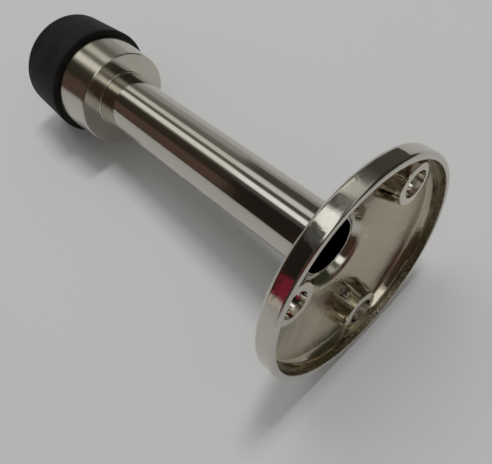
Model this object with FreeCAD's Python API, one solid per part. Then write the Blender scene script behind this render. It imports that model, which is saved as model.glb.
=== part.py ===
# Projection door stop: a hollow round base screwed to a wall, a tubular post and a rubber-tipped head.
# Millimetres. The wall plane is y = 0, the post runs along +Y, +Z is up.
# The origin is the centre of the base on the wall plane.

import FreeCAD
import Part
import math
import os

# ---- Driving sizes ----

total_length = 89.5

# Base
base_radius = 22.5
rim_wall = 1.3
rim_edge_height = 3.55
web_slope = 18.3
web_thickness = 1.0
rim_draft = 3.0
rim_edge_round = 0.9
rim_back_outer_round = 0.6
rim_back_inner_round = 0.15
web_corner_round = 2.4
hub_rise = 2.8
hub_root_wall = 2.9
hub_tip_wall = 0.7
hub_root_round = 4.0
hub_tip_round = 0.3
well_setback = 2.4
well_depth = 1.8
well_slope = 60.0
well_mouth_round = 2.4
well_floor_round = 0.25

# Screw bosses in the base
screw_count = 3
first_screw_angle = 30.0
screw_hole_diameter = 5.3
countersink_diameter = 7.6
boss_diameter = 8.2
boss_root_diameter = 8.9
boss_to_rim = 0.6
boss_recess = 1.6
boss_rib_count = 10
boss_rib_width = 0.7
boss_rib_diameter = 8.8
boss_rib_root_diameter = 11.2
boss_rib_recess = 2.3

# Post
tube_diameter = 12.2
tube_wall = 0.55
tube_tail = 0.8
tube_end_round = 0.1

# Head
head_length = 8.8
head_back_diameter = 20.7
head_front_diameter = 21.9
head_floor = 2.0
tube_socket_depth = 3.0
tube_socket_clearance = 0.02
socket_lip = 0.3
socket_lip_round = 0.25
head_edge_chamfer = 0.25
head_front_round = 0.25
head_pocket_round = 0.2
stem_diameter = 15.2
groove_depth = 0.4
groove_width = 1.2
groove_setback = 1.2

# Buffer
buffer_length = 12.7
buffer_back_diameter = 24.2
buffer_end_diameter = 22.6
buffer_end_round = 1.7
buffer_back_round = 0.5
buffer_pocket_round = 0.5
stem_length = 3.6
stem_end_round = 0.3
head_pocket_clearance = 0.4

# Fixing inside the head, an M4 pan-head screw and its lock washer
screw_diameter = 4.0
screw_length = 10.0
screw_head_diameter = 8.0
screw_head_height = 2.6
screw_head_round = 1.1
screw_seat_round = 0.1
screw_tip_chamfer = 0.5
cross_slot_length = 4.4
cross_slot_width = 1.1
cross_slot_depth = 1.4
screw_thread_clearance = 0.02
screw_hole_clearance = 0.2
washer_thickness = 0.9
washer_diameter = 7.6
washer_bore_clearance = 0.1
washer_split = 0.8
washer_split_slant = 20.0
plug_length = 10.0
plug_thread_depth = 8.6
plug_drill_point = 1.0
plug_mouth_chamfer = 0.4
plug_edge_chamfer = 0.4

# ---- Sizes that follow from the driving sizes ----

rise = math.tan(math.radians(web_slope))
web_thickness_along_y = web_thickness / math.cos(math.radians(web_slope))
rim_inner_radius = base_radius - rim_wall
screw_circle_radius = rim_inner_radius - boss_to_rim - boss_diameter / 2
tube_radius = tube_diameter / 2
tube_bore_radius = tube_radius - tube_wall
buffer_back = total_length - buffer_length
head_back = buffer_back - head_length
tube_end = head_back + tube_socket_depth
floor_front = tube_end + head_floor
screw_seat = floor_front + washer_thickness
screw_top = screw_seat + screw_head_height
stem_radius = stem_diameter / 2
head_pocket_radius = screw_head_diameter / 2 + head_pocket_clearance
groove_front = buffer_back - groove_setback
groove_back = groove_front - groove_width


def front_surface(radius):
    """Height of the base's front cone above the wall plane."""
    return rim_edge_height + (base_radius - radius) * rise


def back_surface(radius):
    """Height of the web's hollow side above the wall plane."""
    return front_surface(radius) - web_thickness_along_y


hub_root = tube_radius + hub_root_wall
hub_height = front_surface(hub_root) + hub_rise
well_radius = tube_radius + well_setback
well_floor = back_surface(well_radius) + well_depth
well_floor_radius = well_radius - well_depth / math.tan(math.radians(well_slope))
tube_back = well_floor - tube_tail


def rounded_face(corners):
    """Flat face in the XY plane from (x, y, rounding) corners."""
    edges = []
    count = len(corners)
    starts = []
    ends = []
    middles = []
    for i in range(count):
        here = FreeCAD.Vector(corners[i][0], corners[i][1], 0)
        before = FreeCAD.Vector(corners[i - 1][0], corners[i - 1][1], 0)
        after = FreeCAD.Vector(corners[(i + 1) % count][0], corners[(i + 1) % count][1], 0)
        radius = corners[i][2]
        if radius == 0:
            starts.append(here)
            ends.append(here)
            middles.append(None)
            continue
        to_before = (before - here).normalize()
        to_after = (after - here).normalize()
        half = to_before.getAngle(to_after) / 2
        reach = radius / math.tan(half)
        inward = (to_before + to_after).normalize()
        centre = here + inward * (radius / math.sin(half))
        starts.append(here + to_before * reach)
        ends.append(here + to_after * reach)
        middles.append(centre - inward * radius)
    for i in range(count):
        if middles[i] is not None:
            edges.append(Part.Arc(starts[i], middles[i], ends[i]).toShape())
        following = (i + 1) % count
        if (starts[following] - ends[i]).Length > 1e-6:
            edges.append(Part.makeLine(ends[i], starts[following]))
    return Part.Face(Part.Wire(edges))


def turned(corners):
    """Solid of revolution about the Y axis from a profile of (radius, y, rounding) corners."""
    origin = FreeCAD.Vector(0, 0, 0)
    axis = FreeCAD.Vector(0, 1, 0)
    return rounded_face(corners).revolve(origin, axis, 360)


def along_y(radius_start, radius_end, y_start, y_end, x=0.0, z=0.0):
    """Cylinder or cone on an axis parallel to Y."""
    base = FreeCAD.Vector(x, y_start, z)
    axis = FreeCAD.Vector(0, 1, 0)
    length = y_end - y_start
    if radius_start == radius_end:
        return Part.makeCylinder(radius_start, length, base, axis)
    return Part.makeCone(radius_start, radius_end, length, base, axis)


def screw_centres():
    """X and Z of each wall screw."""
    centres = []
    for i in range(screw_count):
        angle = math.radians(first_screw_angle + 360.0 * i / screw_count)
        centres.append((screw_circle_radius * math.cos(angle), screw_circle_radius * math.sin(angle)))
    return centres


def base_shell():
    """Rim, conical web and hub of the base, with the well round the end of the post."""
    draft = math.tan(math.radians(rim_draft))
    drop = back_surface(rim_inner_radius)
    corner_y = drop / (1 - draft * rise)
    corner_radius = rim_inner_radius - draft * corner_y
    return turned([
        (rim_inner_radius, 0, rim_back_inner_round),
        (base_radius, 0, rim_back_outer_round),
        (base_radius, rim_edge_height, rim_edge_round),
        (hub_root, front_surface(hub_root), hub_root_round),
        (tube_radius + hub_tip_wall, hub_height, hub_tip_round),
        (tube_radius, hub_height, 0),
        (tube_radius, well_floor, 0),
        (well_floor_radius, well_floor, well_floor_round),
        (well_radius, back_surface(well_radius), well_mouth_round),
        (corner_radius, corner_y, web_corner_round),
    ])


def front_envelope():
    """Everything behind the front surface of the base."""
    return turned([
        (0, 0, 0),
        (base_radius, 0, 0),
        (base_radius, rim_edge_height, rim_edge_round),
        (tube_radius, front_surface(tube_radius), 0),
        (0, front_surface(tube_radius), 0),
    ])


def boss_ribs(x, z, top):
    """Tapered ribs standing out all round one boss."""
    ribs = []
    outline = rounded_face([
        (0, boss_rib_recess, 0),
        (boss_rib_diameter / 2, boss_rib_recess, 0),
        (boss_rib_root_diameter / 2, top, 0),
        (0, top, 0),
    ])
    for i in range(boss_rib_count):
        rib = outline.extrude(FreeCAD.Vector(0, 0, boss_rib_width))
        rib.translate(FreeCAD.Vector(0, 0, -boss_rib_width / 2))
        turn = 360.0 * (i + 0.5) / boss_rib_count
        rib.rotate(FreeCAD.Vector(0, 0, 0), FreeCAD.Vector(0, 1, 0), turn)
        rib.translate(FreeCAD.Vector(x, 0, z))
        ribs.append(rib)
    return ribs


def screw_boss(x, z, envelope):
    """One drafted boss with its ribs, trimmed to the front surface."""
    top = front_surface(screw_circle_radius - boss_rib_root_diameter / 2)
    boss = along_y(boss_diameter / 2, boss_root_diameter / 2, boss_recess, top, x, z)
    return boss.fuse(boss_ribs(x, z, top)).common(envelope)


def screw_passage(x, z):
    """Clearance hole with a countersink sunk in the sloping front."""
    hole_radius = screw_hole_diameter / 2
    sink_radius = countersink_diameter / 2
    sink_top = front_surface(screw_circle_radius)
    sink_depth = sink_radius - hole_radius
    hole = along_y(hole_radius, hole_radius, -1, hub_height, x, z)
    sink = along_y(hole_radius, sink_radius, sink_top - sink_depth, sink_top, x, z)
    entry = along_y(sink_radius, sink_radius, sink_top, hub_height, x, z)
    return hole.fuse([sink, entry])


def base_flange():
    """Base with its three ribbed screw bosses."""
    envelope = front_envelope()
    shape = base_shell()
    for x, z in screw_centres():
        shape = shape.fuse(screw_boss(x, z, envelope))
    for x, z in screw_centres():
        shape = shape.cut(screw_passage(x, z))
    return shape.removeSplitter()


def post_tube():
    """Thin straight tube through the hub, its back end standing in the well."""
    return turned([
        (tube_bore_radius, tube_back, tube_end_round),
        (tube_radius, tube_back, tube_end_round),
        (tube_radius, tube_end, tube_end_round),
        (tube_bore_radius, tube_end, 0),
    ])


def tube_plug():
    """Slug pressed into the front end of the tube, tapped for the screw."""
    thread_radius = screw_diameter / 2
    plug_back = tube_end - plug_length
    blank = turned([
        (0, plug_back, 0),
        (tube_bore_radius - plug_edge_chamfer, plug_back, 0),
        (tube_bore_radius, plug_back + plug_edge_chamfer, 0),
        (tube_bore_radius, tube_end, 0),
        (0, tube_end, 0),
    ])
    thread_end = tube_end - plug_thread_depth
    thread = along_y(thread_radius, thread_radius, thread_end, tube_end)
    point = along_y(0.0, thread_radius, thread_end - plug_drill_point, thread_end)
    mouth_radius = thread_radius + plug_mouth_chamfer
    mouth = along_y(thread_radius, mouth_radius, tube_end - plug_mouth_chamfer, tube_end)
    return blank.cut(thread.fuse([point, mouth]))


def bumper_head():
    """Turned cup: a lipped socket for the tube behind, a pocket for the buffer stem in front."""
    socket_radius = tube_radius + tube_socket_clearance
    passage_radius = screw_diameter / 2 + screw_hole_clearance
    back_radius = head_back_diameter / 2
    groove_radius = stem_radius + groove_depth
    lip_radius = socket_radius + socket_lip
    return turned([
        (socket_radius, head_back - socket_lip, 0),
        (lip_radius, head_back - socket_lip, socket_lip_round),
        (lip_radius, head_back, 0),
        (back_radius - head_edge_chamfer, head_back, 0),
        (back_radius, head_back + head_edge_chamfer, 0),
        (head_front_diameter / 2, buffer_back, head_front_round),
        (stem_radius, buffer_back, 0),
        (stem_radius, groove_front, 0),
        (groove_radius, groove_front - groove_depth / 2, 0),
        (groove_radius, groove_back + groove_depth / 2, 0),
        (stem_radius, groove_back, 0),
        (stem_radius, floor_front, head_pocket_round),
        (passage_radius, floor_front, 0),
        (passage_radius, tube_end, 0),
        (socket_radius, tube_end, 0),
    ])


def spring_washer():
    """Split lock washer."""
    outer = washer_diameter / 2
    inner = screw_diameter / 2 + washer_bore_clearance
    ring = along_y(outer, outer, floor_front, screw_seat).cut(along_y(inner, inner, floor_front, screw_seat))
    split = Part.makeBox(washer_split, washer_thickness * 4, outer * 2)
    split.translate(FreeCAD.Vector(-washer_split / 2, floor_front - washer_thickness * 1.5, 0))
    middle = FreeCAD.Vector(0, floor_front + washer_thickness / 2, 0)
    split.rotate(middle, FreeCAD.Vector(0, 0, 1), washer_split_slant)
    return ring.cut(split)


def head_screw():
    """Pan-head screw with a cross recess."""
    shank_radius = screw_diameter / 2 - screw_thread_clearance
    tip = screw_seat - screw_length
    blank = turned([
        (0, tip, 0),
        (shank_radius - screw_tip_chamfer, tip, 0),
        (shank_radius, tip + screw_tip_chamfer, 0),
        (shank_radius, screw_seat, 0),
        (screw_head_diameter / 2, screw_seat, screw_seat_round),
        (screw_head_diameter / 2, screw_top, screw_head_round),
        (0, screw_top, 0),
    ])
    slot_corner = FreeCAD.Vector(-cross_slot_length / 2, screw_top - cross_slot_depth, -cross_slot_width / 2)
    for turn in (0, 90):
        slot = Part.makeBox(cross_slot_length, cross_slot_depth, cross_slot_width, slot_corner)
        slot.rotate(FreeCAD.Vector(0, 0, 0), FreeCAD.Vector(0, 1, 0), turn)
        blank = blank.cut(slot)
    return blank


def rubber_bumper():
    """Buffer with a hollow stem that snaps into the groove of the head."""
    bead_radius = stem_radius + groove_depth
    pocket_end = screw_top + head_pocket_clearance
    stem_end = buffer_back - stem_length
    return turned([
        (head_pocket_radius, stem_end, 0),
        (stem_radius, stem_end, stem_end_round),
        (stem_radius, groove_back, 0),
        (bead_radius, groove_back + groove_depth / 2, 0),
        (bead_radius, groove_front - groove_depth / 2, 0),
        (stem_radius, groove_front, 0),
        (stem_radius, buffer_back, 0),
        (buffer_back_diameter / 2, buffer_back, buffer_back_round),
        (buffer_end_diameter / 2, total_length, buffer_end_round),
        (0, total_length, 0),
        (0, pocket_end, 0),
        (head_pocket_radius, pocket_end, buffer_pocket_round),
    ])


os.makedirs("parts", exist_ok=True)
base_flange().exportStep("parts/base_flange.step")
post_tube().exportStep("parts/post_tube.step")
tube_plug().exportStep("parts/tube_plug.step")
bumper_head().exportStep("parts/bumper_head.step")
spring_washer().exportStep("parts/spring_washer.step")
head_screw().exportStep("parts/head_screw.step")
rubber_bumper().exportStep("parts/rubber_bumper.step")
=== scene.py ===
import math

import bmesh
import bpy
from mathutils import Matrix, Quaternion, Vector


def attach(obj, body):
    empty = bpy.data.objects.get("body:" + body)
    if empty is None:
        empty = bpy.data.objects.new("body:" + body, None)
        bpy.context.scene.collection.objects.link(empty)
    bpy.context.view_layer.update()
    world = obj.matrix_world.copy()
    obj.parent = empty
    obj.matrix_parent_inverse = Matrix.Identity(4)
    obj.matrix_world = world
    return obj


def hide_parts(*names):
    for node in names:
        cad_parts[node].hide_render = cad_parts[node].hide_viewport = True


# Nickel-plated door stop lying on its side on a pale table. Metres, same frame as the CAD:
# the post runs along +Y and the hollow side of the base faces -Y.

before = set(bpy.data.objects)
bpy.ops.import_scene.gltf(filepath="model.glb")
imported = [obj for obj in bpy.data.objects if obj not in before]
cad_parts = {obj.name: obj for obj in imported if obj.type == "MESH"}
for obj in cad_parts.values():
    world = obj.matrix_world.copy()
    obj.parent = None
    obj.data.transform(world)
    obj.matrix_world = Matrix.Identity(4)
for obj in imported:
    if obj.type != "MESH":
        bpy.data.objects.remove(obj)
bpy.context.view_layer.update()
mm = 0.001
bpy.ops.object.select_all(action="DESELECT")
bpy.context.tool_settings.mesh_select_mode = (True, False, False)
print("frame loaded:", ", ".join(sorted(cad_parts)))


# Modelling helpers

def pickOnly(piece):
    bpy.ops.object.select_all(action="DESELECT")
    piece.select_set(True)
    bpy.context.view_layer.objects.active = piece


def startEdit(piece):
    pickOnly(piece)
    bpy.ops.object.mode_set(mode="EDIT")
    bpy.ops.mesh.select_mode(type="VERT")


def endEdit():
    bpy.ops.object.mode_set(mode="OBJECT")


def selectWhere(piece, wanted):
    bpy.ops.mesh.select_all(action="DESELECT")
    mesh = bmesh.from_edit_mesh(piece.data)
    for vertex in mesh.verts:
        vertex.select = wanted(vertex.co)
    mesh.select_flush(True)
    bmesh.update_edit_mesh(piece.data)


def selectPoints(piece, places, tolerance=1e-6):
    selectWhere(piece, lambda point: any((point - place).length < tolerance for place in places))


def useModifier(piece, kind, **settings):
    pickOnly(piece)
    modifier = piece.modifiers.new(kind.lower(), kind)
    for key, value in settings.items():
        setattr(modifier, key, value)
    bpy.ops.object.modifier_apply(modifier=modifier.name)


def cutOrJoin(piece, tool, operation):
    useModifier(piece, "BOOLEAN", object=tool, operation=operation, solver="EXACT")
    bpy.data.objects.remove(tool)


def copyRound(piece, count, centre=(0, 0, 0), start=0.0):
    # copies a piece round an axis along Y and joins the copies;
    # start turns them all by that share of a step
    copies = [piece]
    for i in range(1, count):
        pickOnly(piece)
        bpy.ops.object.duplicate()
        copies.append(bpy.context.object)
    for i, copy in enumerate(copies):
        pickOnly(copy)
        bpy.ops.transform.rotate(
            value=2 * math.pi * (i + start) / count, orient_axis="Y", center_override=centre)
    bpy.ops.object.select_all(action="DESELECT")
    for copy in copies:
        copy.select_set(True)
    bpy.context.view_layer.objects.active = piece
    bpy.ops.object.transform_apply(location=True, rotation=True, scale=True)
    bpy.ops.object.join()
    return piece


def turned(name, outline, closed=True, steps=180, arcSteps=6, axis=(0.0, 0.0), divide=None):
    # outline: (radius, y, rounding) corners in mm, drawn beside the axis and spun round it.
    # divide: {corner number: cuts} on the straight that follows a corner
    cx, cz = axis[0] * mm, axis[1] * mm
    points = [Vector((cx + r * mm, y * mm, cz)) for r, y, rounding in outline]
    bpy.ops.object.select_all(action="DESELECT")
    bpy.ops.mesh.primitive_plane_add(size=mm, location=points[0])
    piece = bpy.context.object
    piece.name = name
    bpy.ops.object.transform_apply(location=True, rotation=True, scale=True)
    startEdit(piece)
    bpy.ops.mesh.select_all(action="SELECT")
    bpy.ops.mesh.merge(type="CENTER")
    for before, after in zip(points, points[1:]):
        bpy.ops.mesh.extrude_vertices_move(TRANSFORM_OT_translate={"value": after - before})
    if closed:
        selectPoints(piece, [points[0], points[-1]])
        bpy.ops.mesh.edge_face_add()
    for corner, cuts in (divide or {}).items():
        selectPoints(piece, [points[corner], points[(corner + 1) % len(points)]])
        bpy.ops.mesh.subdivide(number_cuts=cuts)
    for i, (r, y, rounding) in enumerate(outline):
        if rounding:
            toBefore = points[i - 1] - points[i]
            toAfter = points[(i + 1) % len(points)] - points[i]
            reach = rounding * mm / math.tan(toBefore.angle(toAfter) / 2)
            selectPoints(piece, [points[i]])
            bpy.ops.mesh.bevel(offset=reach, segments=arcSteps, affect="VERTICES")
    bpy.ops.mesh.select_all(action="SELECT")
    bpy.ops.mesh.spin(steps=steps, angle=2 * math.pi, center=(cx, 0, cz), axis=(0, 1, 0))
    bpy.ops.mesh.select_all(action="SELECT")
    bpy.ops.mesh.remove_doubles(threshold=1e-7)
    bpy.ops.mesh.normals_make_consistent(inside=False)
    endEdit()
    return piece


def finishPiece(piece, node, material, sharpAngle=30):
    pickOnly(piece)
    bpy.ops.object.transform_apply(location=True, rotation=True, scale=True)
    bpy.ops.object.shade_smooth_by_angle(angle=math.radians(sharpAngle))
    useModifier(piece, "WEIGHTED_NORMAL", keep_sharp=True, weight=50)
    piece.data.materials.clear()
    piece.data.materials.append(material)
    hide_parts(node)
    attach(piece, "root")
    print("made", piece.name, "with", len(piece.data.polygons), "faces")


# Surface effects that several finishes share

def addNode(tree, kind, place, inputs=None, **settings):
    node = tree.nodes.new(kind)
    node.location = (place[0] * 190, -place[1] * 190)
    for key, value in settings.items():
        setattr(node, key, value)
    for key, value in (inputs or {}).items():
        node.inputs[key].default_value = value
    return node


def newGroup(name, inputs, outputs):
    group = bpy.data.node_groups.new(name, "ShaderNodeTree")
    for label, kind, value in inputs:
        socket = group.interface.new_socket(name=label, in_out="INPUT", socket_type=kind)
        if value is not None:
            socket.default_value = value
    for label, kind in outputs:
        group.interface.new_socket(name=label, in_out="OUTPUT", socket_type=kind)
    start = addNode(group, "NodeGroupInput", (0, 0))
    end = addNode(group, "NodeGroupOutput", (8, 0))
    return group, start, end


def millimetreScale(tree, start, place):  # turns a grain size in mm into a texture scale
    node = addNode(tree, "ShaderNodeMath", place, {0: 1000.0}, operation="DIVIDE")
    tree.links.new(start.outputs["Size"], node.inputs[1])
    return node.outputs[0]


def makeFineGrain():
    group, start, end = newGroup(
        "fineGrain",
        [("Vector", "NodeSocketVector", None), ("Size", "NodeSocketFloat", 0.3)],
        [("Grain", "NodeSocketFloat"), ("Cells", "NodeSocketFloat")])
    scale = millimetreScale(group, start, (1, 0))
    noise = addNode(group, "ShaderNodeTexNoise", (2, 0), {"Detail": 4.0, "Roughness": 0.62})
    cells = addNode(group, "ShaderNodeTexVoronoi", (2, 1), feature="SMOOTH_F1")
    cells.inputs["Smoothness"].default_value = 0.6
    for node in (noise, cells):
        group.links.new(start.outputs["Vector"], node.inputs["Vector"])
        group.links.new(scale, node.inputs["Scale"])
    group.links.new(noise.outputs["Fac"], end.inputs["Grain"])
    group.links.new(cells.outputs["Distance"], end.inputs["Cells"])
    return group


def makeTurningLines():  # fine rings left by a lathe or a belt, on walls and on end faces alike
    group, start, end = newGroup(
        "turningLines",
        [("Vector", "NodeSocketVector", None), ("Size", "NodeSocketFloat", 0.2),
         ("Waver", "NodeSocketFloat", 0.02)],
        [("Lines", "NodeSocketFloat")])
    scale = millimetreScale(group, start, (1, 0))
    parts = addNode(group, "ShaderNodeSeparateXYZ", (1, 1))
    flat = addNode(group, "ShaderNodeCombineXYZ", (2, 1))
    radius = addNode(group, "ShaderNodeVectorMath", (3, 1), operation="LENGTH")
    reach = addNode(group, "ShaderNodeMath", (4, 1), operation="ADD")
    drift = addNode(group, "ShaderNodeTexNoise", (2, 2), {"Scale": 90.0, "Detail": 1.0})
    waver = addNode(group, "ShaderNodeMath", (3, 2), operation="MULTIPLY")
    wavering = addNode(group, "ShaderNodeMath", (4, 2), operation="MULTIPLY_ADD")
    lines = addNode(group, "ShaderNodeTexNoise", (5, 1), {"Detail": 3.0, "Roughness": 0.7},
                    noise_dimensions="1D")
    group.links.new(start.outputs["Vector"], parts.inputs[0])
    group.links.new(parts.outputs["X"], flat.inputs["X"])
    group.links.new(parts.outputs["Z"], flat.inputs["Z"])
    group.links.new(flat.outputs[0], radius.inputs[0])
    group.links.new(radius.outputs["Value"], reach.inputs[0])
    group.links.new(parts.outputs["Y"], reach.inputs[1])
    group.links.new(start.outputs["Vector"], drift.inputs["Vector"])
    group.links.new(drift.outputs["Fac"], waver.inputs[0])
    group.links.new(start.outputs["Waver"], waver.inputs[1])
    group.links.new(waver.outputs[0], wavering.inputs[0])
    wavering.inputs[1].default_value = mm
    group.links.new(reach.outputs[0], wavering.inputs[2])
    group.links.new(wavering.outputs[0], lines.inputs["W"])
    group.links.new(scale, lines.inputs["Scale"])
    group.links.new(lines.outputs["Fac"], end.inputs["Lines"])
    return group


def makeHandlingMarks():  # broad cloudy film and finger smears
    group, start, end = newGroup(
        "handlingMarks",
        [("Vector", "NodeSocketVector", None), ("Size", "NodeSocketFloat", 9.0)],
        [("Marks", "NodeSocketFloat"), ("Clouds", "NodeSocketFloat")])
    scale = millimetreScale(group, start, (1, 0))
    clouds = addNode(group, "ShaderNodeTexNoise", (2, 0),
                     {"Detail": 3.0, "Roughness": 0.55, "Distortion": 0.6})
    marks = addNode(group, "ShaderNodeMapRange", (4, 0),
                    {"From Min": 0.42, "From Max": 0.68}, interpolation_type="SMOOTHSTEP")
    group.links.new(start.outputs["Vector"], clouds.inputs["Vector"])
    group.links.new(scale, clouds.inputs["Scale"])
    group.links.new(clouds.outputs["Fac"], marks.inputs["Value"])
    group.links.new(marks.outputs["Result"], end.inputs["Marks"])
    group.links.new(clouds.outputs["Fac"], end.inputs["Clouds"])
    return group


def makeSpecks():  # sparse round specks: dust on rubber, pits in plating
    group, start, end = newGroup(
        "specks",
        [("Vector", "NodeSocketVector", None), ("Size", "NodeSocketFloat", 1.2),
         ("Share", "NodeSocketFloat", 0.12)],
        [("Specks", "NodeSocketFloat")])
    scale = millimetreScale(group, start, (1, 0))
    dots = addNode(group, "ShaderNodeTexVoronoi", (2, 0), {"Randomness": 1.0})
    spot = addNode(group, "ShaderNodeMapRange", (4, 0),
                   {"From Min": 0.16, "From Max": 0.04}, interpolation_type="SMOOTHSTEP")
    parts = addNode(group, "ShaderNodeSeparateColor", (4, 1))
    chosen = addNode(group, "ShaderNodeMath", (5, 1), operation="LESS_THAN")
    both = addNode(group, "ShaderNodeMath", (6, 0), operation="MULTIPLY")
    group.links.new(start.outputs["Vector"], dots.inputs["Vector"])
    group.links.new(scale, dots.inputs["Scale"])
    group.links.new(dots.outputs["Distance"], spot.inputs["Value"])
    group.links.new(dots.outputs["Color"], parts.inputs[0])
    group.links.new(parts.outputs[0], chosen.inputs[0])
    group.links.new(start.outputs["Share"], chosen.inputs[1])
    group.links.new(spot.outputs["Result"], both.inputs[0])
    group.links.new(chosen.outputs[0], both.inputs[1])
    group.links.new(both.outputs[0], end.inputs["Specks"])
    return group


def makeEdgeWearAndHighlight():  # bright corners: rubbed wear, and on the base also a painted highlight on the rib edges
    group, start, end = newGroup(
        "edgeWearAndHighlight",
        [("Vector", "NodeSocketVector", None), ("Size", "NodeSocketFloat", 1.5)],
        [("WearAndHighlight", "NodeSocketFloat")])
    scale = millimetreScale(group, start, (1, 0))
    corner = addNode(group, "ShaderNodeNewGeometry", (1, 1))
    rubbed = addNode(group, "ShaderNodeMapRange", (3, 1),
                     {"From Min": 0.51, "From Max": 0.58}, interpolation_type="SMOOTHSTEP")
    patchy = addNode(group, "ShaderNodeTexNoise", (2, 0), {"Detail": 2.0})
    both = addNode(group, "ShaderNodeMath", (5, 0), operation="MULTIPLY")
    group.links.new(start.outputs["Vector"], patchy.inputs["Vector"])
    group.links.new(scale, patchy.inputs["Scale"])
    group.links.new(corner.outputs["Pointiness"], rubbed.inputs["Value"])
    group.links.new(rubbed.outputs["Result"], both.inputs[0])
    group.links.new(patchy.outputs["Fac"], both.inputs[1])
    group.links.new(both.outputs[0], end.inputs["WearAndHighlight"])
    return group


fineGrain = makeFineGrain()
turningLines = makeTurningLines()
handlingMarks = makeHandlingMarks()
specks = makeSpecks()
edgeWearAndHighlight = makeEdgeWearAndHighlight()
print("shared surface effects ready")


class Finish:
    # A material under construction: effects on the left, the surface shader on the right

    def __init__(self, name, baseColor, metallic, roughness):
        self.material = bpy.data.materials.new(name)
        self.material.use_nodes = True
        self.tree = self.material.node_tree
        self.tree.nodes.clear()
        self.place = addNode(self.tree, "ShaderNodeTexCoord", (0, 0))
        self.shader = addNode(self.tree, "ShaderNodeBsdfPrincipled", (9, 0),
                              {"Metallic": metallic, "Roughness": roughness,
                               "Base Color": (*baseColor, 1)})
        self.surface = addNode(self.tree, "ShaderNodeOutputMaterial", (11, 0))
        self.link(self.shader.outputs[0], self.surface.inputs["Surface"])
        self.row = 0
        self.normal = None

    def link(self, start, end):
        self.tree.links.new(start, end)

    def effect(self, group, output, **values):
        node = addNode(self.tree, "ShaderNodeGroup", (1, self.row), node_tree=group)
        self.link(self.place.outputs["Object"], node.inputs["Vector"])
        for key, value in values.items():
            node.inputs[key].default_value = value
        self.row += 1
        return node.outputs[output]

    def spread(self, value, low, high, fromLow=0.0, fromHigh=1.0):
        node = addNode(self.tree, "ShaderNodeMapRange", (4, self.row),
                       {"From Min": fromLow, "From Max": fromHigh, "To Min": low, "To Max": high})
        self.link(value, node.inputs["Value"])
        return node.outputs["Result"]

    def combine(self, first, second, operation="ADD"):
        node = addNode(self.tree, "ShaderNodeMath", (5, self.row), operation=operation)
        self.link(first, node.inputs[0])
        self.link(second, node.inputs[1])
        return node.outputs[0]

    def tint(self, mask, first, second):
        node = addNode(self.tree, "ShaderNodeMix", (6, self.row), data_type="RGBA")
        self.link(mask, node.inputs["Factor"])
        for key, value in ((6, first), (7, second)):
            if isinstance(value, tuple):
                node.inputs[key].default_value = (*value, 1)
            else:
                self.link(value, node.inputs[key])
        return node.outputs[2]

    def bump(self, height, depth, strength=1.0):  # depth in mm
        node = addNode(self.tree, "ShaderNodeBump", (7, self.row),
                       {"Strength": strength, "Distance": depth * mm})
        self.link(height, node.inputs["Height"])
        if self.normal is not None:
            self.link(self.normal, node.inputs["Normal"])
        self.normal = node.outputs[0]
        self.link(self.normal, self.shader.inputs["Normal"])

    def feed(self, socket, value):
        self.link(value, self.shader.inputs[socket])


# Base: hollow disc with three ribbed screw bosses, cast and bright plated

base = {
    "radius": 22.5,
    "rimWall": 1.3,
    "rimHeight": 3.55,
    "slope": 18.3,
    "webThickness": 1.0,
    "boreRadius": 6.1,
    "hubRadius": 9.0,
    "hubTipRadius": 6.8,
    "hubTop": 10.814,
    "wellRadius": 8.5,
    "wellDepth": 1.8,
    "wellSlope": 60,
    "wellRound": 2.4,
    "screwCircle": 16.5,
    "screwAngle": 30,
    "screwCount": 3,
    "bossBack": 1.6,
    "bossRadius": 4.1,
    "bossRootRadius": 4.45,
    "ribCount": 10,
    "ribWidth": 0.7,
    "ribBack": 2.3,
    "ribReach": 4.4,
    "ribRootReach": 5.6,
    "ribHoleGap": 0.6,
    "ribRound": 0.2,
    "bossRound": 0.18,
    "bossEndPastWeb": 0.1,
    "rimInnerRound": 0.15,
    "rimBackRound": 0.6,
    "rimFrontRound": 0.9,
    "hubRound": 4.0,
    "hubTipRound": 0.3,
    "wellFloorRound": 0.25,
    "cornerInset": 0.16,
    "cornerRound": 2.4,
    "holeRadius": 2.65,
    "sinkRadius": 3.8,
    "color": (0.64, 0.61, 0.56),
    "filmColor": (0.57, 0.54, 0.48),
    "castColor": (0.60, 0.53, 0.43),
    "castFilmColor": (0.55, 0.50, 0.385),
    # darker colour for the boss sides in the hollow: painted shade
    "recessShadeColor": (0.54, 0.50, 0.41),
    "pitBand": (1.44, 0.9),  # height where the pits and their painted shade start and where they are full
    # near-black colour in the pitted strip by the rim: painted shade
    "pitShadeColor": (0.10, 0.09, 0.06),
    "wornColor": (0.70, 0.68, 0.63),
    # lighter colour for the base's sharp corners and rib edges: wear and a painted highlight
    "wornCastHighlightColor": (0.74, 0.72, 0.67),
}
rise = math.tan(math.radians(base["slope"]))
webAlongY = base["webThickness"] / math.cos(math.radians(base["slope"]))
rimInner = base["radius"] - base["rimWall"]


def frontHeight(radius):
    return base["rimHeight"] + (base["radius"] - radius) * rise


def backHeight(radius):
    return frontHeight(radius) - webAlongY


wellFloor = backHeight(base["wellRadius"]) + base["wellDepth"]

# where each mask starts and where it is full, in mm
zones = {
    "inside": (0.14, 0.04),  # outside the inner face of the rim
    "behind": (0.45, 0.75),  # behind the front of the web
    "web": (1.7, 1.3),  # behind the front of the web
    "wall": (0.4, 0.1),  # inside the inner face of the rim
    "bossSide": (0.02, 0.2),  # in front of the back of the bosses
}


def fade(group, place, start, end):  # 0 at start and 1 at end, both in mm
    return addNode(group, "ShaderNodeMapRange", place, {"From Min": start * mm, "From Max": end * mm})


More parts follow.
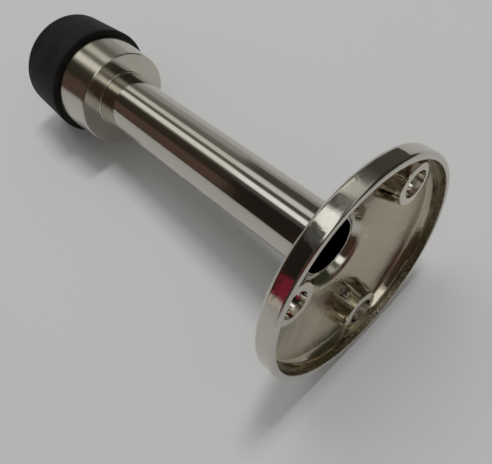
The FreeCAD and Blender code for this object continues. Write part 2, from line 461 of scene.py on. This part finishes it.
def makeHollowZones():  # masks for the web, the sides of the bosses and the pitted strip by the rim; the boss-side mask and the strip also carry painted shade
    group, start, end = newGroup(
        "hollowZones",
        [("Vector", "NodeSocketVector", None)],
        [("Hollow", "NodeSocketFloat"), ("Web", "NodeSocketFloat"), ("Deep", "NodeSocketFloat"),
         ("Wall", "NodeSocketFloat")])
    parts = addNode(group, "ShaderNodeSeparateXYZ", (1, 0))
    flat = addNode(group, "ShaderNodeCombineXYZ", (2, 0))
    radius = addNode(group, "ShaderNodeVectorMath", (3, 0), operation="LENGTH")
    cone = addNode(group, "ShaderNodeMath", (4, 1), {1: rise}, operation="MULTIPLY_ADD")
    front = frontHeight(0)
    inside = fade(group, (5, 0), *(rimInner + gap for gap in zones["inside"]))
    behind = fade(group, (5, 1), *(front - gap for gap in zones["behind"]))
    deep = fade(group, (5, 2), *(front - gap for gap in zones["web"]))
    wall = fade(group, (5, 3), *(rimInner - gap for gap in zones["wall"]))
    inward = fade(group, (5, 4), *(base["bossBack"] + gap for gap in zones["bossSide"]))
    outer = fade(group, (5, 5), *base["pitBand"])
    strip = addNode(group, "ShaderNodeMath", (6, 5), operation="MULTIPLY")
    below = addNode(group, "ShaderNodeMath", (7, 3), operation="SUBTRACT")
    sides = addNode(group, "ShaderNodeMath", (8, 3), operation="MULTIPLY")
    hollow = addNode(group, "ShaderNodeMath", (6, 0), operation="MULTIPLY")
    web = addNode(group, "ShaderNodeMath", (7, 1), operation="MULTIPLY")
    rough = addNode(group, "ShaderNodeMath", (7, 2), operation="MULTIPLY")
    group.links.new(start.outputs["Vector"], parts.inputs[0])
    group.links.new(parts.outputs["X"], flat.inputs["X"])
    group.links.new(parts.outputs["Z"], flat.inputs["Z"])
    group.links.new(flat.outputs[0], radius.inputs[0])
    group.links.new(radius.outputs["Value"], cone.inputs[0])
    group.links.new(parts.outputs["Y"], cone.inputs[2])
    for node in (inside, wall):
        group.links.new(radius.outputs["Value"], node.inputs["Value"])
    for node in (behind, deep):
        group.links.new(cone.outputs[0], node.inputs["Value"])
    group.links.new(inside.outputs["Result"], hollow.inputs[0])
    group.links.new(behind.outputs["Result"], hollow.inputs[1])
    group.links.new(hollow.outputs[0], web.inputs[0])
    group.links.new(deep.outputs["Result"], web.inputs[1])
    group.links.new(parts.outputs["Y"], outer.inputs["Value"])
    group.links.new(wall.outputs["Result"], strip.inputs[0])
    group.links.new(outer.outputs["Result"], strip.inputs[1])
    group.links.new(hollow.outputs[0], rough.inputs[0])
    group.links.new(strip.outputs[0], rough.inputs[1])
    group.links.new(hollow.outputs[0], end.inputs["Hollow"])
    group.links.new(parts.outputs["Y"], inward.inputs["Value"])
    group.links.new(hollow.outputs[0], below.inputs[0])
    group.links.new(web.outputs[0], below.inputs[1])
    group.links.new(below.outputs[0], sides.inputs[0])
    group.links.new(inward.outputs["Result"], sides.inputs[1])
    group.links.new(sides.outputs[0], end.inputs["Deep"])
    group.links.new(web.outputs[0], end.inputs["Web"])
    group.links.new(rough.outputs[0], end.inputs["Wall"])
    return group


hollowZones = makeHollowZones()


def makeCastNickel():
    finish = Finish("castNickel", base["color"], 1.0, 0.08)
    marks = finish.effect(handlingMarks, "Marks", Size=11.0)
    clouds = finish.effect(handlingMarks, "Clouds", Size=5.0)
    peel = finish.effect(fineGrain, "Grain", Size=1.6)
    sand = finish.effect(fineGrain, "Grain", Size=0.45)
    lumps = finish.effect(fineGrain, "Cells", Size=0.8)
    worn = finish.effect(edgeWearAndHighlight, "WearAndHighlight", Size=1.4)
    hollow = finish.effect(hollowZones, "Hollow")
    web = finish.effect(hollowZones, "Web")
    deep = finish.effect(hollowZones, "Deep")
    wall = finish.effect(hollowZones, "Wall")
    film = finish.tint(finish.spread(marks, 0.0, 0.55), base["color"], base["filmColor"])
    bright = finish.tint(worn, film, base["wornColor"])
    cloudy = finish.spread(clouds, 0.0, 1.0, 0.35, 0.65)
    cast = finish.tint(cloudy, base["castColor"], base["castFilmColor"])
    # the boss sides deep in the hollow turn darker: painted shade in the recesses
    recess = finish.tint(deep, cast, base["recessShadeColor"])
    # sharp corners, rib edges in the hollow included, turn lighter: wear and a painted highlight
    sides = finish.tint(worn, finish.tint(hollow, bright, recess), base["wornCastHighlightColor"])
    # grainy dark patches in the strip on the rim's inner wall: painted shade over the bumped pits
    wallShadeMask = finish.combine(wall, finish.spread(sand, 0.0, 1.0, 0.62, 0.38), "MULTIPLY")
    finish.feed("Base Color", finish.tint(wallShadeMask, sides, base["pitShadeColor"]))
    smooth = finish.spread(marks, 0.055, 0.12)
    satin = finish.combine(smooth, finish.spread(web, 0.0, 0.17))
    finish.feed("Roughness", finish.combine(satin, finish.spread(wall, 0.0, 0.10)))
    finish.bump(clouds, 0.06)
    finish.bump(peel, 0.010)
    finish.bump(finish.combine(lumps, web, "MULTIPLY"), 0.012)
    finish.bump(finish.combine(sand, wall, "MULTIPLY"), 0.12)
    return finish.material


def makeBoss():
    angle = math.radians(base["screwAngle"])
    x = base["screwCircle"] * math.cos(angle)
    z = base["screwCircle"] * math.sin(angle)
    top = frontHeight(base["screwCircle"] - base["ribRootReach"])
    boss = turned("boss", [
        (0, base["bossBack"], 0),
        (base["bossRadius"], base["bossBack"], base["bossRound"]),
        (base["bossRootRadius"], top, 0),
        (0, top, 0),
    ], closed=False, steps=96, arcSteps=3, axis=(x, z))
    inner = base["holeRadius"] + base["ribHoleGap"]
    middle = (x + (inner + base["ribReach"]) / 2, (base["ribBack"] + top) / 2, z)
    bpy.ops.object.select_all(action="DESELECT")
    bpy.ops.mesh.primitive_cube_add(size=1, location=[value * mm for value in middle])
    ribs = bpy.context.object
    ribs.scale = ((base["ribReach"] - inner) * mm, (top - base["ribBack"]) * mm, base["ribWidth"] * mm)
    bpy.ops.object.transform_apply(location=True, rotation=True, scale=True)
    pastStart = (x + inner + 0.1) * mm
    nearTop = (top - 0.1) * mm
    startEdit(ribs)
    selectWhere(ribs, lambda point: point.x > pastStart and point.y > nearTop)
    bpy.ops.transform.translate(value=((base["ribRootReach"] - base["ribReach"]) * mm, 0, 0))
    endEdit()
    useModifier(ribs, "BEVEL", width=base["ribRound"] * mm, segments=3)
    copyRound(ribs, base["ribCount"], centre=(x * mm, 0, z * mm), start=0.5)
    cutOrJoin(boss, ribs, "UNION")
    # the front end stops inside the thickness of the sloping web
    radial = Vector((math.cos(angle), 0, math.sin(angle)))
    endHeight = frontHeight(base["screwCircle"]) - webAlongY / 2 + base["bossEndPastWeb"]
    startEdit(boss)
    bpy.ops.mesh.select_all(action="SELECT")
    bpy.ops.mesh.bisect(
        plane_co=(x * mm, endHeight * mm, z * mm),
        plane_no=(Vector((0, 1, 0)) + radial * rise).normalized(),
        use_fill=True, clear_outer=True)
    endEdit()
    return boss


def makePassage():
    angle = math.radians(base["screwAngle"])
    x = base["screwCircle"] * math.cos(angle)
    z = base["screwCircle"] * math.sin(angle)
    sinkTop = frontHeight(base["screwCircle"])
    return turned("passage", [
        (0, -1, 0),
        (base["holeRadius"], -1, 0),
        (base["holeRadius"], sinkTop - base["sinkRadius"] + base["holeRadius"], 0),
        (base["sinkRadius"], sinkTop, 0),
        (base["sinkRadius"], base["hubTop"], 0),
        (0, base["hubTop"], 0),
    ], closed=False, steps=96, axis=(x, z))


def makeBase():
    floorRadius = base["wellRadius"] - base["wellDepth"] / math.tan(math.radians(base["wellSlope"]))
    corner = rimInner - base["cornerInset"]
    shell = turned("baseFlange", [
        (rimInner, 0, base["rimInnerRound"]),
        (base["radius"], 0, base["rimBackRound"]),
        (base["radius"], base["rimHeight"], base["rimFrontRound"]),
        (base["hubRadius"], frontHeight(base["hubRadius"]), base["hubRound"]),
        (base["hubTipRadius"], base["hubTop"], base["hubTipRound"]),
        (base["boreRadius"], base["hubTop"], 0),
        (base["boreRadius"], wellFloor, 0),
        (floorRadius, wellFloor, base["wellFloorRound"]),
        (base["wellRadius"], backHeight(base["wellRadius"]), base["wellRound"]),
        (corner, backHeight(corner), base["cornerRound"]),
    ], steps=216, arcSteps=8, divide={2: 16, 8: 16})
    cutOrJoin(shell, copyRound(makeBoss(), base["screwCount"]), "UNION")
    cutOrJoin(shell, copyRound(makePassage(), base["screwCount"]), "DIFFERENCE")
    finishPiece(shell, "base_flange", makeCastNickel())
    return shell


baseFlange = makeBase()

# Post: thin drawn tube, its back end standing in the well of the hub

post = {
    "radius": 6.1,
    "wall": 0.55,
    "tail": 0.8,
    "end": 71.0,
    "edgeRound": 0.1,
    "color": (0.63, 0.60, 0.55),
    "filmColor": (0.58, 0.55, 0.50),
    "wornColor": (0.70, 0.68, 0.63),
}


def makePolishedNickel():
    finish = Finish("polishedNickel", post["color"], 1.0, 0.06)
    marks = finish.effect(handlingMarks, "Marks", Size=14.0)
    rings = finish.effect(turningLines, "Lines", Size=0.35, Waver=0.5)
    peel = finish.effect(fineGrain, "Grain", Size=0.9)
    worn = finish.effect(edgeWearAndHighlight, "WearAndHighlight", Size=1.4)
    film = finish.tint(finish.spread(marks, 0.0, 0.5), post["color"], post["filmColor"])
    finish.feed("Base Color", finish.tint(worn, film, post["wornColor"]))
    rough = finish.combine(finish.spread(marks, 0.05, 0.09), finish.spread(rings, 0.0, 0.03))
    finish.feed("Roughness", rough)
    finish.bump(rings, 0.0016)
    finish.bump(peel, 0.0016)
    return finish.material


def makePost():
    outer = post["radius"]
    bore = outer - post["wall"]
    back = wellFloor - post["tail"]
    tube = turned("postTube", [
        (bore, back, post["edgeRound"]),
        (outer, back, post["edgeRound"]),
        (outer, post["end"], post["edgeRound"]),
        (bore, post["end"], 0),
    ], steps=200, arcSteps=3, divide={1: 24, 3: 10})
    finishPiece(tube, "post_tube", makePolishedNickel())
    return tube


postTube = makePost()

# Head: turned cup between the post and the rubber

head = {
    "back": 68.0,
    "front": 76.8,
    "backRadius": 10.35,
    "frontRadius": 10.95,
    "socketRadius": 6.12,
    "socketFloor": 71.0,
    "screwHoleRadius": 2.2,
    "pocketRadius": 7.6,
    "pocketFloor": 73.0,
    "pocketRound": 0.2,
    "grooveBack": 74.4,
    "grooveFront": 75.6,
    "grooveDepth": 0.4,
    "grooveTaper": 0.2,
    "frontRound": 0.25,
    "chamfer": 0.16,
    "chamferRound": 0.04,
    "beadReach": 0.3,
    "beadRound": 0.25,
    "beadEdge": 0.05,
    "color": (0.62, 0.595, 0.525),
    "filmColor": (0.56, 0.53, 0.455),
    "wornColor": (0.74, 0.72, 0.67),
}


def makeSatinNickel():
    finish = Finish("satinNickel", head["color"], 1.0, 0.16)
    marks = finish.effect(handlingMarks, "Marks", Size=8.0)
    rings = finish.effect(turningLines, "Lines", Size=0.16, Waver=0.15)
    peel = finish.effect(fineGrain, "Grain", Size=0.25)
    worn = finish.effect(edgeWearAndHighlight, "WearAndHighlight", Size=1.0)
    film = finish.tint(finish.spread(marks, 0.0, 0.6), head["color"], head["filmColor"])
    finish.feed("Base Color", finish.tint(worn, film, head["wornColor"]))
    rough = finish.combine(finish.spread(marks, 0.10, 0.16), finish.spread(rings, 0.0, 0.08))
    finish.feed("Roughness", rough)
    finish.bump(rings, 0.0022)
    finish.bump(peel, 0.0010)
    return finish.material


def makeHead():
    pocket = head["pocketRadius"]
    groove = pocket + head["grooveDepth"]
    bead = head["socketRadius"] + head["beadReach"]
    cup = turned("bumperHead", [
        (head["socketRadius"], head["back"] - head["beadReach"], head["beadEdge"]),
        (bead, head["back"] - head["beadReach"], head["beadRound"]),
        (bead, head["back"], 0),
        (head["backRadius"] - head["chamfer"], head["back"], head["chamferRound"]),
        (head["backRadius"], head["back"] + head["chamfer"], head["chamferRound"]),
        (head["frontRadius"], head["front"], head["frontRound"]),
        (pocket, head["front"], 0),
        (pocket, head["grooveFront"], 0),
        (groove, head["grooveFront"] - head["grooveTaper"], 0),
        (groove, head["grooveBack"] + head["grooveTaper"], 0),
        (pocket, head["grooveBack"], 0),
        (pocket, head["pocketFloor"], head["pocketRound"]),
        (head["screwHoleRadius"], head["pocketFloor"], 0),
        (head["screwHoleRadius"], head["socketFloor"], 0),
        (head["socketRadius"], head["socketFloor"], 0),
    ], steps=200, arcSteps=6, divide={2: 6, 4: 8})
    finishPiece(cup, "bumper_head", makeSatinNickel())
    return cup


bumperHead = makeHead()

# Buffer: black rubber with a hollow stem that snaps into the head

rubber = {
    "back": 76.8,
    "end": 89.5,
    "backRadius": 12.1,
    "endRadius": 11.3,
    "endRound": 1.7,
    "backRound": 0.3,
    "stemBack": 73.2,
    "stemRound": 0.3,
    "boreRadius": 4.4,
    "boreFloor": 76.9,
    "boreRound": 0.5,
    "color": (0.0075, 0.008, 0.0072),
    "bloomColor": (0.013, 0.0138, 0.0125),
    "rubbedColor": (0.026, 0.027, 0.025),
    "dustColor": (0.09, 0.09, 0.08),
}


def makeBlackRubber():
    finish = Finish("blackRubber", rubber["color"], 0.0, 0.6)
    marks = finish.effect(handlingMarks, "Marks", Size=7.0)
    grain = finish.effect(fineGrain, "Grain", Size=0.22)
    cells = finish.effect(fineGrain, "Cells", Size=0.5)
    dust = finish.effect(specks, "Specks", Size=1.1, Share=0.10)
    worn = finish.effect(edgeWearAndHighlight, "WearAndHighlight", Size=0.8)
    bloom = finish.tint(marks, rubber["color"], rubber["bloomColor"])
    rubbed = finish.tint(finish.spread(worn, 0.0, 0.6), bloom, rubber["rubbedColor"])
    finish.feed("Base Color", finish.tint(finish.spread(dust, 0.0, 0.35), rubbed, rubber["dustColor"]))
    finish.feed("Roughness", finish.spread(grain, 0.52, 0.72))
    finish.shader.inputs["Specular IOR Level"].default_value = 0.24
    finish.bump(cells, 0.006)
    finish.bump(grain, 0.012)
    return finish.material


def makeBuffer():
    stem = head["pocketRadius"]
    ridge = stem + head["grooveDepth"]
    cup = turned("rubberBumper", [
        (0, rubber["boreFloor"], 0),
        (rubber["boreRadius"], rubber["boreFloor"], rubber["boreRound"]),
        (rubber["boreRadius"], rubber["stemBack"], 0),
        (stem, rubber["stemBack"], rubber["stemRound"]),
        (stem, head["grooveBack"], 0),
        (ridge, head["grooveBack"] + head["grooveTaper"], 0),
        (ridge, head["grooveFront"] - head["grooveTaper"], 0),
        (stem, head["grooveFront"], 0),
        (stem, rubber["back"], 0),
        (rubber["backRadius"], rubber["back"], rubber["backRound"]),
        (rubber["endRadius"], rubber["end"], rubber["endRound"]),
        (0, rubber["end"], 0),
    ], closed=False, steps=200, arcSteps=6, divide={9: 8, 10: 10})
    finishPiece(cup, "rubber_bumper", makeBlackRubber())
    return cup


rubberBumper = makeBuffer()

# Fixing inside the head: the CAD shapes stay and get their own finishes

fixing = {
    "plugColor": (0.42, 0.41, 0.40),
    "plugStain": (0.30, 0.27, 0.23),
    "washerColor": (0.20, 0.20, 0.21),
    "washerStain": (0.27, 0.25, 0.27),
    "zincColor": (0.62, 0.63, 0.65),
    "zincTint": (0.58, 0.60, 0.52),
    "zincWorn": (0.72, 0.72, 0.73),
}


def makePlainSteel():
    finish = Finish("plainSteel", fixing["plugColor"], 1.0, 0.35)
    rings = finish.effect(turningLines, "Lines", Size=0.25, Waver=0.1)
    marks = finish.effect(handlingMarks, "Marks", Size=4.0)
    finish.feed("Base Color", finish.tint(marks, fixing["plugColor"], fixing["plugStain"]))
    finish.feed("Roughness", finish.spread(rings, 0.25, 0.5))
    finish.bump(rings, 0.008)
    return finish.material


def makeSpringSteel():
    finish = Finish("springSteel", fixing["washerColor"], 1.0, 0.4)
    grain = finish.effect(fineGrain, "Grain", Size=0.3)
    marks = finish.effect(handlingMarks, "Marks", Size=3.0)
    finish.feed("Base Color", finish.tint(marks, fixing["washerColor"], fixing["washerStain"]))
    finish.feed("Roughness", finish.spread(grain, 0.3, 0.55))
    finish.bump(grain, 0.006)
    return finish.material


def makeZincSteel():
    finish = Finish("zincSteel", fixing["zincColor"], 1.0, 0.28)
    grain = finish.effect(fineGrain, "Grain", Size=0.18)
    marks = finish.effect(handlingMarks, "Marks", Size=2.5)
    worn = finish.effect(edgeWearAndHighlight, "WearAndHighlight", Size=0.6)
    sheen = finish.tint(marks, fixing["zincColor"], fixing["zincTint"])
    finish.feed("Base Color", finish.tint(worn, sheen, fixing["zincWorn"]))
    finish.feed("Roughness", finish.spread(grain, 0.2, 0.4))
    finish.bump(grain, 0.005)
    return finish.material


for node, material in (("tube_plug", makePlainSteel()), ("spring_washer", makeSpringSteel()),
                       ("head_screw", makeZincSteel())):
    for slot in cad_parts[node].material_slots:
        slot.material = material
print("fixing inside the head finished")

# Table: a plain pale plane that the rim of the base and the far edge of the rubber rest on

table = {
    "size": 6.0,
    "clearance": 0.02,
    "color": (0.70, 0.70, 0.695),
    "shade": (0.685, 0.685, 0.68),
}


def restingTilt(back, front):
    # angle about X of the plane that touches both pieces from below, and a point on it
    nearMiddle = 2 * mm
    backPoints = [v.co for v in back.data.vertices if abs(v.co.x) < nearMiddle]
    frontPoints = [v.co for v in front.data.vertices if abs(v.co.x) < nearMiddle]
    tilt = 0.0
    for attempt in range(8):
        def below(point):
            return point.z * math.cos(tilt) - point.y * math.sin(tilt)
        first = min(backPoints, key=below)
        second = min(frontPoints, key=below)
        tilt = math.atan2(second.z - first.z, second.y - first.y)
    return tilt, first


def makeTable():
    tilt, touch = restingTilt(baseFlange, rubberBumper)
    drop = Vector((0, math.sin(tilt), -math.cos(tilt))) * table["clearance"] * mm
    bpy.ops.object.select_all(action="DESELECT")
    bpy.ops.mesh.primitive_plane_add(
        size=table["size"], location=Vector((0, touch.y, touch.z)) + drop, rotation=(tilt, 0, 0))
    floor = bpy.context.object
    floor.name = "tableTop"
    finish = Finish("paleLaminate", table["color"], 0.0, 0.55)
    clouds = finish.effect(handlingMarks, "Clouds", Size=60.0)
    grain = finish.effect(fineGrain, "Grain", Size=0.8)
    finish.feed("Base Color", finish.tint(clouds, table["color"], table["shade"]))
    finish.feed("Roughness", finish.spread(grain, 0.5, 0.62))
    finish.shader.inputs["Specular IOR Level"].default_value = 0.3
    finish.bump(grain, 0.004)
    floor.data.materials.append(finish.material)
    print("table tilt", round(math.degrees(tilt), 2))


makeTable()

# Light: even pale surroundings, a soft lamp beside the post and a broad one above, and a tent of
# light and dark panels that only the metal sees

studio = {
    "surround": (0.265, 0.265, 0.262),
    "backdrop": (0.46, 0.46, 0.455),  # what the camera sees beyond the table
    "lampAngle": 75,
    "lampDistance": 1.0,
    "lampSize": (0.12, 0.28),
    "lampPower": 3.0,
    "overheadPlace": (0.10, 0.42, 1.10),
    "overheadSize": 0.6,
    "overheadPower": 2.3,
    "tentRadius": 0.6,
    "tentFrom": -1.2,
    "tentTo": 1.4,
    "sectionBlend": 0.015,
    # height of each row of the front panel and its colour
    "frontRows": [
        (-0.60, (0.075, 0.030, 0.024)),
        (0.10, (0.085, 0.026, 0.021)),
        (0.30, (0.03, 0.022, 0.018)),
    ],
    # along the post: where a section of the tent ends, then degrees from +X towards +Z
    # and the colour there
    "sections": [
        (-0.75, [
            (-30, (0.16, 0.16, 0.13)),
            (5, (0.035, 0.037, 0.024)),
            (48, (0.035, 0.037, 0.024)),
            (58, (0.42, 0.42, 0.38)),
            (70, (0.42, 0.42, 0.38)),
            (76, (0.12, 0.12, 0.10)),
            (86, (0.14, 0.14, 0.12)),
            (92, (1.10, 1.10, 1.07)),
            (107, (1.10, 1.10, 1.07)),
            (114, (0.06, 0.055, 0.045)),
            (126, (0.05, 0.030, 0.022)),
            (140, (0.16, 0.060, 0.046)),
            (165, (0.12, 0.050, 0.040)),
            (178, (0.06, 0.050, 0.040)),
            (190, (0.24, 0.22, 0.20)),
        ]),
        (-0.02, [
            (-30, (0.16, 0.16, 0.13)),
            (5, (0.035, 0.037, 0.024)),
            (48, (0.035, 0.037, 0.024)),
            (58, (0.42, 0.42, 0.38)),
            (70, (0.42, 0.42, 0.38)),
            (76, (0.12, 0.12, 0.10)),
            (86, (0.14, 0.14, 0.12)),
            (92, (1.10, 1.10, 1.07)),
            (107, (1.10, 1.10, 1.07)),
            (114, (0.06, 0.055, 0.045)),
            (122, (0.05, 0.040, 0.028)),
            (140, (0.055, 0.035, 0.024)),
            (168, (0.055, 0.035, 0.025)),
            (178, (0.06, 0.050, 0.040)),
            (190, (0.24, 0.22, 0.20)),
        ]),
        (0.27, [
            (-30, (0.18, 0.175, 0.16)),
            (-12, (0.07, 0.066, 0.055)),
            (40, (0.06, 0.060, 0.048)),
            (50, (0.13, 0.13, 0.11)),
            (59, (0.52, 0.52, 0.48)),
            (69, (0.52, 0.52, 0.48)),
            (73, (0.22, 0.22, 0.20)),
            (85, (0.22, 0.22, 0.20)),
            (90, (1.20, 1.20, 1.18)),
            (103, (1.20, 1.20, 1.18)),
            (107, (0.11, 0.11, 0.105)),
            (117, (0.085, 0.085, 0.080)),
            (121, (0.016, 0.014, 0.011)),
            (150, (0.016, 0.014, 0.011)),
            (153, (0.21, 0.018, 0.036)),
            (170, (0.21, 0.018, 0.036)),
            (173, (0.50, 0.46, 0.41)),
            (186, (0.40, 0.38, 0.34)),
        ]),
        (0.42, [
            (-30, (0.36, 0.36, 0.34)),
            (14, (0.33, 0.33, 0.32)),
            (24, (0.07, 0.07, 0.06)),
            (50, (0.065, 0.065, 0.055)),
            (57, (0.72, 0.72, 0.69)),
            (70, (0.72, 0.72, 0.69)),
            (74, (0.08, 0.08, 0.075)),
            (85, (0.09, 0.09, 0.085)),
            (89, (1.05, 1.05, 1.02)),
            (101, (1.05, 1.05, 1.02)),
            (105, (0.085, 0.085, 0.080)),
            (114, (0.070, 0.070, 0.062)),
            (120, (0.018, 0.015, 0.012)),
            (172, (0.020, 0.016, 0.012)),
            (186, (0.20, 0.18, 0.16)),
        ]),
        (1.40, [
            (-30, (0.36, 0.36, 0.35)),
            (24, (0.33, 0.33, 0.32)),
            (38, (0.16, 0.16, 0.14)),
            (53, (0.15, 0.15, 0.13)),
            (58, (0.64, 0.63, 0.58)),
            (70, (0.64, 0.63, 0.58)),
            (74, (0.13, 0.13, 0.11)),
            (83, (0.13, 0.13, 0.11)),
            (87, (0.85, 0.84, 0.78)),
            (99, (0.85, 0.84, 0.78)),
            (105, (0.17, 0.165, 0.14)),
            (111, (0.040, 0.034, 0.025)),
            (134, (0.034, 0.027, 0.020)),
            (142, (0.092, 0.060, 0.046)),
            (170, (0.085, 0.057, 0.043)),
            (178, (0.045, 0.036, 0.028)),
            (186, (0.15, 0.135, 0.12)),
        ]),
    ],
}


def makeSurround():
    world = bpy.data.worlds.new("studioSurround")
    bpy.context.scene.world = world
    world.use_nodes = True
    tree = world.node_tree
    tree.nodes.clear()
    around = addNode(tree, "ShaderNodeBackground", (1, 0), {"Color": (*studio["surround"], 1)})
    backdrop = addNode(tree, "ShaderNodeBackground", (1, 1), {"Color": (*studio["backdrop"], 1)})
    seen = addNode(tree, "ShaderNodeLightPath", (1, -2))
    either = addNode(tree, "ShaderNodeMixShader", (3, 0))
    surface = addNode(tree, "ShaderNodeOutputWorld", (4, 0))
    tree.links.new(seen.outputs["Is Camera Ray"], either.inputs[0])
    tree.links.new(around.outputs[0], either.inputs[1])
    tree.links.new(backdrop.outputs[0], either.inputs[2])
    tree.links.new(either.outputs[0], surface.inputs["Surface"])


def addLamp(name, place, size, power):
    bpy.ops.object.light_add(type="AREA", location=place)
    lamp = bpy.context.object
    lamp.name = name
    lamp.data.shape = "RECTANGLE"
    lamp.data.size, lamp.data.size_y = size
    lamp.data.energy = power
    lamp.rotation_euler = (-place).to_track_quat("-Z", "Y").to_euler()
    lamp.visible_glossy = False
    lamp.visible_camera = False


def makeLamps():
    angle = math.radians(studio["lampAngle"])
    reach = studio["lampDistance"]
    beside = Vector((reach * math.cos(angle), 0, reach * math.sin(angle)))
    addLamp("softLamp", beside, studio["lampSize"], studio["lampPower"])
    size = studio["overheadSize"]
    addLamp("overheadLamp", Vector(studio["overheadPlace"]), (size, size), studio["overheadPower"])


def setStops(ramp, stops):
    stops = sorted(stops)
    while len(ramp.elements) < len(stops):
        ramp.elements.new(1.0)
    for i, (position, color) in enumerate(stops):
        ramp.elements[i].position = position
        ramp.elements[i].color = (*color, 1)


def hideFromCamera(panel):  # seen in the metal only
    panel.visible_camera = False
    panel.visible_diffuse = False
    panel.visible_shadow = False


def makeTent():
    length = studio["tentTo"] - studio["tentFrom"]
    bpy.ops.object.select_all(action="DESELECT")
    bpy.ops.mesh.primitive_cylinder_add(
        vertices=96, radius=studio["tentRadius"], depth=length, end_fill_type="NOTHING",
        location=(0, studio["tentFrom"] + length / 2, 0), rotation=(math.pi / 2, 0, 0))
    tent = bpy.context.object
    tent.name = "lightTent"
    bpy.ops.object.transform_apply(location=True, rotation=True, scale=True)
    bpy.ops.object.shade_smooth()
    material = bpy.data.materials.new("tentPanels")
    material.use_nodes = True
    tree = material.node_tree
    tree.nodes.clear()
    place = addNode(tree, "ShaderNodeTexCoord", (0, 0))
    parts = addNode(tree, "ShaderNodeSeparateXYZ", (1, 0))
    turn = addNode(tree, "ShaderNodeMath", (2, 0), operation="ARCTAN2")
    share = addNode(tree, "ShaderNodeMapRange", (3, 0), {"From Min": -math.pi, "From Max": math.pi})
    glow = addNode(tree, "ShaderNodeEmission", (10, 0))
    surface = addNode(tree, "ShaderNodeOutputMaterial", (11, 0))
    tree.links.new(place.outputs["Object"], parts.inputs[0])
    tree.links.new(parts.outputs["Z"], turn.inputs[0])
    tree.links.new(parts.outputs["X"], turn.inputs[1])
    tree.links.new(turn.outputs[0], share.inputs["Value"])
    color = None
    before = None
    for i, (reach, stops) in enumerate(studio["sections"]):
        panels = addNode(tree, "ShaderNodeValToRGB", (4, i))
        around = [(((angle + 180) % 360) / 360, stopColor) for angle, stopColor in stops]
        setStops(panels.color_ramp, around)
        tree.links.new(share.outputs["Result"], panels.inputs["Fac"])
        if color is None:
            color = panels.outputs["Color"]
        else:
            change = addNode(tree, "ShaderNodeMapRange", (5, i),
                             {"From Min": before - studio["sectionBlend"],
                              "From Max": before + studio["sectionBlend"]})
            blend = addNode(tree, "ShaderNodeMix", (6 + i, i), data_type="RGBA")
            tree.links.new(parts.outputs["Y"], change.inputs["Value"])
            tree.links.new(change.outputs["Result"], blend.inputs["Factor"])
            tree.links.new(color, blend.inputs[6])
            tree.links.new(panels.outputs["Color"], blend.inputs[7])
            color = blend.outputs[2]
        before = reach
    tree.links.new(color, glow.inputs["Color"])
    tree.links.new(glow.outputs[0], surface.inputs["Surface"])
    tent.data.materials.append(material)
    hideFromCamera(tent)
    return tent


def makeFrontPanel():
    # dark drop across the open end behind the camera: dull red low down, near black above
    half = studio["tentRadius"]
    bpy.ops.object.select_all(action="DESELECT")
    bpy.ops.mesh.primitive_plane_add(
        size=2 * half, location=(0, studio["tentFrom"], 0), rotation=(math.pi / 2, 0, 0))
    panel = bpy.context.object
    panel.name = "frontPanel"
    bpy.ops.object.transform_apply(location=True, rotation=True, scale=True)
    material = bpy.data.materials.new("frontPanelCloth")
    material.use_nodes = True
    tree = material.node_tree
    tree.nodes.clear()
    place = addNode(tree, "ShaderNodeTexCoord", (0, 0))
    parts = addNode(tree, "ShaderNodeSeparateXYZ", (1, 0))
    share = addNode(tree, "ShaderNodeMapRange", (3, 0), {"From Min": -half, "From Max": half})
    rows = addNode(tree, "ShaderNodeValToRGB", (4, 0))
    glow = addNode(tree, "ShaderNodeEmission", (6, 0))
    surface = addNode(tree, "ShaderNodeOutputMaterial", (7, 0))
    tree.links.new(place.outputs["Object"], parts.inputs[0])
    tree.links.new(parts.outputs["Z"], share.inputs["Value"])
    tree.links.new(share.outputs["Result"], rows.inputs["Fac"])
    tree.links.new(rows.outputs["Color"], glow.inputs["Color"])
    tree.links.new(glow.outputs[0], surface.inputs["Surface"])
    stops = [((height + half) / (2 * half), color) for height, color in studio["frontRows"]]
    setStops(rows.color_ramp, stops)
    panel.data.materials.append(material)
    hideFromCamera(panel)


makeSurround()
makeLamps()
makeTent()
makeFrontPanel()
print("light ready")

# Camera: close to the base, looking along the post towards the rubber

view = {
    "location": (-0.037162, -0.031233, 0.088797),
    "direction": (0.27919, 0.49113, -0.82513),
    "roll": 17.65,
    "lens": 43.9,
    "sensorWidth": 36,
    "nearest": 0.002,
    "farthest": 20,
}


def makeCamera():
    bpy.ops.object.camera_add(location=view["location"])
    camera = bpy.context.object
    camera.name = "studioCamera"
    direction = Vector(view["direction"]).normalized()
    level = direction.to_track_quat("-Z", "Y")
    camera.rotation_mode = "QUATERNION"
    camera.rotation_quaternion = Quaternion(direction, math.radians(view["roll"])) @ level
    camera.data.lens = view["lens"]
    camera.data.sensor_width = view["sensorWidth"]
    camera.data.clip_start = view["nearest"]
    camera.data.clip_end = view["farthest"]
    bpy.context.scene.camera = camera


makeCamera()
bpy.context.scene.view_settings.view_transform = "Standard"
print("camera ready")
